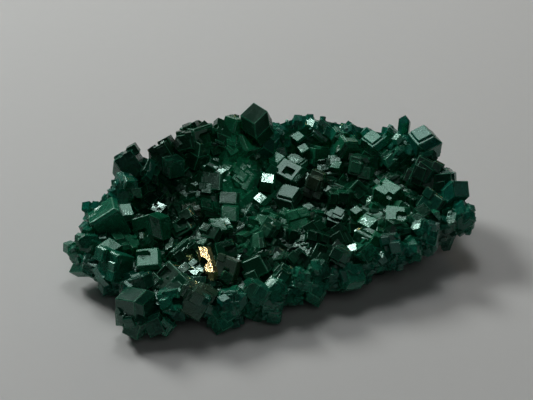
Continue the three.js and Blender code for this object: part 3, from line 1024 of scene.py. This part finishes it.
def apart(crystals):
    """Sorts crystals into groups in which no two can touch, and gives each group."""
    reach = 1.01 * np.maximum(crystals.radius, crystals.length)
    group = np.zeros(len(crystals), dtype=int)
    for row in range(len(crystals)):
        gap = np.linalg.norm(crystals.centre[:row] - crystals.centre[row], axis=1)
        taken = group[:row][gap < reach[:row] + reach[row]]
        group[row] = np.setdiff1d(np.arange(len(taken) + 1), taken)[0]
    return [crystals.take(group == value) for value in range(group.max() + 1)]


def new_object(name, data, collection=None):
    """An object in a collection, or else in the scene."""
    made = bpy.data.objects.new(name, data)
    (collection or bpy.context.scene.collection).objects.link(made)
    return made


def add_boolean(piece, operation, meshes):
    """Adds a step to a piece that joins meshes to it or cuts them out of it."""
    others = bpy.data.collections.new(operation.title())
    for mesh in meshes:
        new_object(mesh.name, mesh, others)
    step = piece.modifiers.new(operation.title(), "BOOLEAN")
    step.operation = operation
    step.solver = "MANIFOLD"
    step.operand_type = "COLLECTION"
    step.collection = others


def outside_largest_shell(mesh):
    """Marks the points of all shells but the largest: those that line gaps sealed in between crystals, and
    crystals that touch nothing. Each point takes the least number among its neighbours until nothing
    changes, so the points of a shell end up with the same number."""
    edges = np.empty(2 * len(mesh.edges), dtype=np.int32)
    mesh.edges.foreach_get("vertices", edges)
    start, end = edges.reshape(-1, 2).T
    label = np.arange(len(mesh.vertices))
    settled = False
    while not settled:
        least = np.minimum(label[start], label[end])
        spread = label.copy()
        np.minimum.at(spread, start, least)
        np.minimum.at(spread, end, least)
        spread = spread[spread]
        settled = (spread == label).all()
        label = spread
    shells, counts = np.unique(label, return_counts=True)
    return label != shells[counts.argmax()]


class Wire:
    """A node's output that can be used in Python expressions. Each operation adds a Math node."""

    def __init__(self, graph, socket):
        self.graph = graph
        self.socket = socket

    def math(self, operation, *values):
        """A Math node on values or other outputs."""
        return self.graph.node("ShaderNodeMath", {"operation": operation}, dict(enumerate(values)))

    def __add__(self, other):
        return self.math("ADD", self, other)

    def __sub__(self, other):
        return self.math("SUBTRACT", self, other)

    def __rsub__(self, other):
        return self.math("SUBTRACT", other, self)

    def __mul__(self, other):
        return self.math("MULTIPLY", self, other)

    __radd__ = __add__
    __rmul__ = __mul__

    def __abs__(self):
        return self.math("ABSOLUTE", self)

    def most(self, other):
        """The greater of two."""
        return self.math("MAXIMUM", self, other)

    def part(self):
        """What is left after the decimal point."""
        return self.math("FRACT", self)

    def rise(self, low, high):
        """0 up to low, 1 from high, eased between them."""
        return self.graph.node(
            "ShaderNodeMapRange",
            {"interpolation_type": "SMOOTHSTEP"},
            {"Value": self, "From Min": low, "From Max": high},
        )


class Graph:
    """A material's nodes."""

    def __init__(self, tree):
        self.tree = tree
        tree.nodes.clear()

    def node(self, kind, given=None, inputs=None, output=0):
        """Any node: its type, its settings, the values or links of its sockets, and the output wanted."""
        made = self.tree.nodes.new(kind)
        for name, value in (given or {}).items():
            setattr(made, name, value)
        for name, value in (inputs or {}).items():
            if isinstance(value, Wire):
                self.tree.links.new(value.socket, made.inputs[name])
            else:
                made.inputs[name].default_value = value
        return Wire(self, made.outputs[output]) if made.outputs else made

    def mix(self, share, first, second):
        """Two colours mixed."""
        return self.node("ShaderNodeMix", {"data_type": "RGBA"}, {0: share, 6: first, 7: second}, 2)

    def layer(self, name):
        """A value that the mesh holds for each face."""
        return self.node("ShaderNodeAttribute", {"attribute_name": name}, output="Fac")

    def noise(self, size, detail=2.0, roughness=0.5):
        """Noise whose lumps are about a size across."""
        place = self.node("ShaderNodeTexCoord", output="Object")
        inputs = {"Vector": place, "Scale": 1 / size, "Detail": detail, "Roughness": roughness}
        return self.node("ShaderNodeTexNoise", None, inputs, "Fac")


def dioptase_material():
    """Glassy deep green: darker and paler crystals, with patches of painted light and shade, painted
    highlights at the edges of faces, teal and painted light shining through where the plate is thin, golden
    stains with painted glints, dull and bright faces, and growth lines that follow the outline of each face."""
    given = settings("finish")
    deep, fresh = tuple(given.deep_green), tuple(given.fresh_green)
    material = bpy.data.materials.new("dioptase")
    material.use_nodes = True
    graph = Graph(material.node_tree)

    # How far out each point is on its own face, noise of two sizes, growth lines, and where finishes change
    tone, stain, thin, polish = (graph.layer(name) for name in ("tone", "stain", "thin", "polish"))
    square = graph.node("ShaderNodeUVMap", {"uv_map": "growth"})
    across, along = (graph.node("ShaderNodeSeparateXYZ", None, {0: square}, output) for output in (0, 1))
    outwards = abs(across * 2.0 - 1.0).most(abs(along * 2.0 - 1.0))
    cloud = graph.noise(2.5 * MM)
    grain = graph.noise(0.25 * MM, 4.0, 0.6)
    lines = (outwards * 6.0 + cloud * 2.0 + grain * 0.4).part()
    etched = 1.0 - polish.rise(-0.5, 0.3)
    golden = stain.rise(0.5, 1.0)
    # Painted glints: specks of gold where the grain is high on the golden stain
    gilt_glints = golden * grain.rise(0.3, 0.5)

    # Colour: crystals with patches of painted light and shade, thin parts with painted light shining
    # through, painted highlights at the edges, grain, and stains with painted golden glints
    shade = graph.mix((tone * 0.7 + cloud * 0.6 - 0.35).rise(0.0, 1.0), deep, fresh)
    # Teal where the plate is thin: its paler colour and painted light shining through
    shade = graph.mix(thin * 0.8, shade, tuple(given.thin_teal_glow))
    # Painted highlight: paler towards the edges of each face
    shade = graph.mix(outwards.rise(0.86, 1.0) * 0.35, shade, fresh)
    shade = graph.mix(grain.rise(0.42, 0.66) * (0.5 + etched * 0.3), shade, deep)
    shade = graph.mix(stain.rise(0.0, 0.5) * cloud, shade, tuple(given.stain_brown))
    shade = graph.mix(gilt_glints, shade, tuple(given.gold_stain_and_glints))

    # Polish and fine relief
    bright, dull = given.roughness
    roughness = dull + (bright - dull) * polish + cloud.rise(0.45, 0.7) * 0.06
    relief = lines * 0.3 + grain * (0.5 + etched * 9.8 + golden * 7.0)
    bump = graph.node(
        "ShaderNodeBump", None, {"Strength": 0.22, "Distance": 0.04 * MM, "Height": relief}
    )
    surface = graph.node(
        "ShaderNodeBsdfPrincipled",
        None,
        {
            "Base Color": shade,
            "Roughness": roughness,
            "Metallic": gilt_glints * 0.7,
            "IOR": given.ior,
            "Specular Tint": tuple(given.mirrored),
            "Transmission Weight": given.clearness,
            "Normal": bump,
        },
    )
    inside = graph.node(
        "ShaderNodeVolumeAbsorption", None, {"Color": tuple(given.absorbed), "Density": given.density}
    )
    graph.node("ShaderNodeOutputMaterial", None, {"Surface": surface, "Volume": inside})
    return material


def floor_material(pale):
    """A plain matte finish with a faint grain."""
    material = bpy.data.materials.new("floor")
    material.use_nodes = True
    graph = Graph(material.node_tree)
    grain = graph.noise(1.5 * MM, 3.0, 0.6)
    shade = graph.mix(grain * 0.12, tuple(pale), tuple(0.8 * value for value in pale))
    surface = graph.node("ShaderNodeBsdfPrincipled", None, {"Base Color": shade, "Roughness": 0.7})
    graph.node("ShaderNodeOutputMaterial", None, {"Surface": surface})
    return material


class DIOPTASE_OT_grow_cluster(bpy.types.Operator):
    """Grow the cluster in place of the plain solid"""

    bl_idname = "dioptase.grow_cluster"
    bl_label = "Grow Cluster"

    def execute(self, context):
        given = settings("crystals")
        crust = Crust()
        large = listed_crystals(crust, LARGE_CRYSTALS, 0)
        fine = listed_crystals(crust, FINE_CRYSTALS, len(LARGE_CRYSTALS))
        blocks = self.all_blocks(given, crust, large)
        shift = self.frame_shift(crust, blocks)
        grown = with_room(Crystals.together(blocks, fine), self.druse(given, crust), given.druse_spacing)

        # What carries nothing, and what grows on the others or is cut out
        bare = [row for row, listed in enumerate(LARGE_CRYSTALS) if listed[8] not in OVERGROWN]
        bare = [*bare, *range(len(blocks), len(blocks) + len(fine))]
        overgrown = np.delete(np.arange(len(grown)), bare)
        hosts = blocks.take(overgrown[overgrown < len(blocks)])
        plates, cuts = face_details(large, LARGE_CRYSTALS)
        fine_plates, fine_cuts = face_details(fine, FINE_CRYSTALS)
        added = Crystals.together(
            grown,
            plates,
            fine_plates,
            companions(hosts),
            sprouts(hosts, crust),
            growth_steps(grown.take(overgrown)),
        )
        other_cuts = hollows(blocks.take(np.arange(len(large), len(blocks))))

        piece = self.joined_piece(given, crust, added, Crystals.together(cuts, fine_cuts, other_cuts))
        piece.data = self.finished_mesh(piece, shift)
        piece.data.materials.append(dioptase_material())
        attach(piece, "root")
        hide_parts(NODE)
        return {"FINISHED"}

    def all_blocks(self, given, crust, large):
        """What the solid model has too: the large crystals, and others where there is room."""
        edge_radii = given.edge_radii
        on_rim = rim_crystals(crust, given.rim_count, FIRST["rim"], edge_radii)
        over_dish = dish_crystals(crust, given.dish_count, FIRST["dish"], given.dish_radii)
        on_flank = flank_crystals(crust, given.flank_count, FIRST["flank"], edge_radii, given.flank_heights)
        blocks = with_room(Crystals.together(large, on_rim), over_dish, given.spacing)
        return with_room(blocks, on_flank, given.spacing)

    def druse(self, given, crust):
        """Small crystals over dish, rim and flank."""
        over_dish, in_row, on_flank = given.druse_counts
        radii, stretch = given.druse_radii, given.stretch
        return Crystals.together(
            dish_crystals(crust, over_dish, FIRST["druse of the dish"], radii, stretch),
            rim_crystals(crust, in_row, FIRST["druse of the rim"], radii, stretch),
            flank_crystals(
                crust, on_flank, FIRST["druse of the flank"], radii, given.druse_heights, stretch
            ),
        )

    def frame_shift(self, crust, blocks):
        """From the middle of the dish to the middle of the box of what the solid model has too."""
        corners = crystal_points(blocks).reshape(-1, 3)
        points = np.vstack([corners[corners[:, 2] > 0], crust.surface()[0]])
        low, high = points.min(axis=0), points.max(axis=0)
        cad_low, cad_high = (np.array(corner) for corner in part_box(NODE))
        misfit = np.abs((high - low) - (cad_high - cad_low))[:2].max()
        if misfit > 0.1 * MM:
            raise RuntimeError(f"the crystals don't match the solid model by {misfit / MM:.2f} mm")
        middle = (low + high) / 2
        return np.array([-middle[0], -middle[1], 0.0])

    def joined_piece(self, given, crust, added, cuts):
        """The crust with all crystals joined to it, the hollows cut out, and the bottom cut off flat."""
        piece = new_object("dioptase_crystals", crust_mesh(crust))
        broad = added.radius > given.chamfer_from
        joined = [crystal_mesh("block", group, crust, given.chamfer) for group in apart(added.take(broad))]
        joined += [crystal_mesh("small", group, crust) for group in apart(added.take(~broad))]
        add_boolean(piece, "UNION", joined)
        removed = [crystal_mesh("hollow", group, crust) for group in apart(cuts)]
        add_boolean(piece, "DIFFERENCE", [*removed, below_mesh()])
        return piece

    def finished_mesh(self, piece, shift):
        """The joined mesh on its own, moved into the frame, with flat faces and only its largest shell."""
        graph = bpy.context.evaluated_depsgraph_get()
        mesh = bpy.data.meshes.new_from_object(piece.evaluated_get(graph), depsgraph=graph)
        mesh.name = "dioptase_crystals"
        mesh.materials.clear()
        for step in list(piece.modifiers):
            for operand in list(step.collection.objects):
                bpy.data.objects.remove(operand)
            bpy.data.collections.remove(step.collection)
            piece.modifiers.remove(step)
        outside = np.flatnonzero(outside_largest_shell(mesh))
        shell = bmesh.new()
        shell.from_mesh(mesh)
        shell.verts.ensure_lookup_table()
        bmesh.ops.delete(shell, geom=[shell.verts[row] for row in outside], context="VERTS")
        shell.to_mesh(mesh)
        shell.free()
        points = np.empty(3 * len(mesh.vertices), dtype=np.float32)
        mesh.vertices.foreach_get("co", points)
        points = (points.reshape(-1, 3) + shift).astype(np.float32)
        mesh.vertices.foreach_set("co", points.ravel())
        mesh.shade_flat()
        mesh.update()
        return mesh


class DIOPTASE_OT_set_stage(bpy.types.Operator):
    """Set up the floor, the lights and the camera"""

    bl_idname = "dioptase.set_stage"
    bl_label = "Set Stage"

    def execute(self, context):
        given = settings("studio")
        target = Vector(given.target)
        self.floor(given)
        for name, *how in LIGHTS:
            self.soft_light(name, target, *how)
        self.narrow_light("ridge_light", target, *RIDGE_LIGHT)
        self.world(given)
        self.camera(given, target)
        return {"FINISHED"}

    def floor(self, given):
        """A plain pale square, level with the base of the cluster."""
        half = given.floor_width / 2
        corners = [(-half, -half, 0), (half, -half, 0), (half, half, 0), (-half, half, 0)]
        mesh = bpy.data.meshes.new("floor")
        mesh.from_pydata(corners, [], [(0, 1, 2, 3)])
        mesh.materials.append(floor_material(given.floor_colour))
        new_object("floor", mesh)

    def facing(self, name, data, place, aim):
        """A lamp or camera at a place, turned to a point."""
        made = new_object(name, data)
        made.location = place
        made.rotation_mode = "QUATERNION"
        made.rotation_quaternion = (place - aim).to_track_quat("Z", "Y")
        return made

    def soft_light(self, name, target, place, size, power, tint):
        """A rectangular light that faces the target."""
        data = bpy.data.lights.new(name, "AREA")
        data.shape = "RECTANGLE"
        data.size, data.size_y = size
        data.energy = power
        data.color = tint
        self.facing(name, data, target + Vector(place), target)

    def narrow_light(self, name, target, place, aim, cone, power):
        """A light that reaches only the surroundings of one point."""
        data = bpy.data.lights.new(name, "SPOT")
        data.spot_size = cone
        data.spot_blend = 1.0
        data.shadow_soft_size = 3 * MM
        data.energy = power
        self.facing(name, data, target + Vector(place), target + Vector(aim))

    def world(self, given):
        """Faint light from all round."""
        world = bpy.data.worlds.new("surround")
        world.use_nodes = True
        world.node_tree.nodes["Background"].inputs["Color"].default_value = given.surround
        bpy.context.scene.world = world

    def camera(self, given, target):
        """A camera in front of the target and above it, as far away as its lens and the frame need."""
        data = bpy.data.cameras.new("camera")
        data.lens = given.lens
        data.sensor_fit = "HORIZONTAL"
        data.clip_start = MM
        back = Vector((0, -math.cos(given.elevation), math.sin(given.elevation)))
        distance = given.frame_width * given.lens / data.sensor_width
        bpy.context.scene.camera = self.facing("camera", data, target + back * distance, target)
        bpy.context.scene.view_settings.view_transform = "Standard"


class DIOPTASE_PT_panel(bpy.types.Panel):
    """Lists what this file makes"""

    bl_idname = "DIOPTASE_PT_panel"
    bl_label = "Dioptase Cluster"
    bl_space_type = "VIEW_3D"
    bl_region_type = "UI"
    bl_category = "Dioptase"

    def draw(self, context):
        for operator in (DIOPTASE_OT_grow_cluster, DIOPTASE_OT_set_stage):
            self.layout.operator(operator.bl_idname)


GROUPS = {
    "crust": CrustSettings,
    "crystals": CrystalSettings,
    "finish": FinishSettings,
    "studio": StudioSettings,
}
CLASSES = (*GROUPS.values(), DIOPTASE_OT_grow_cluster, DIOPTASE_OT_set_stage, DIOPTASE_PT_panel)


def register():
    for made in CLASSES:
        bpy.utils.register_class(made)
    for name, group in GROUPS.items():
        setattr(bpy.types.Scene, "dioptase_" + name, PointerProperty(type=group))


def unregister():
    for name in GROUPS:
        delattr(bpy.types.Scene, "dioptase_" + name)
    for made in reversed(CLASSES):
        bpy.utils.unregister_class(made)


def main():
    register()
    bpy.ops.dioptase.grow_cluster()
    bpy.ops.dioptase.set_stage()


if __name__ == "__main__":
    main()
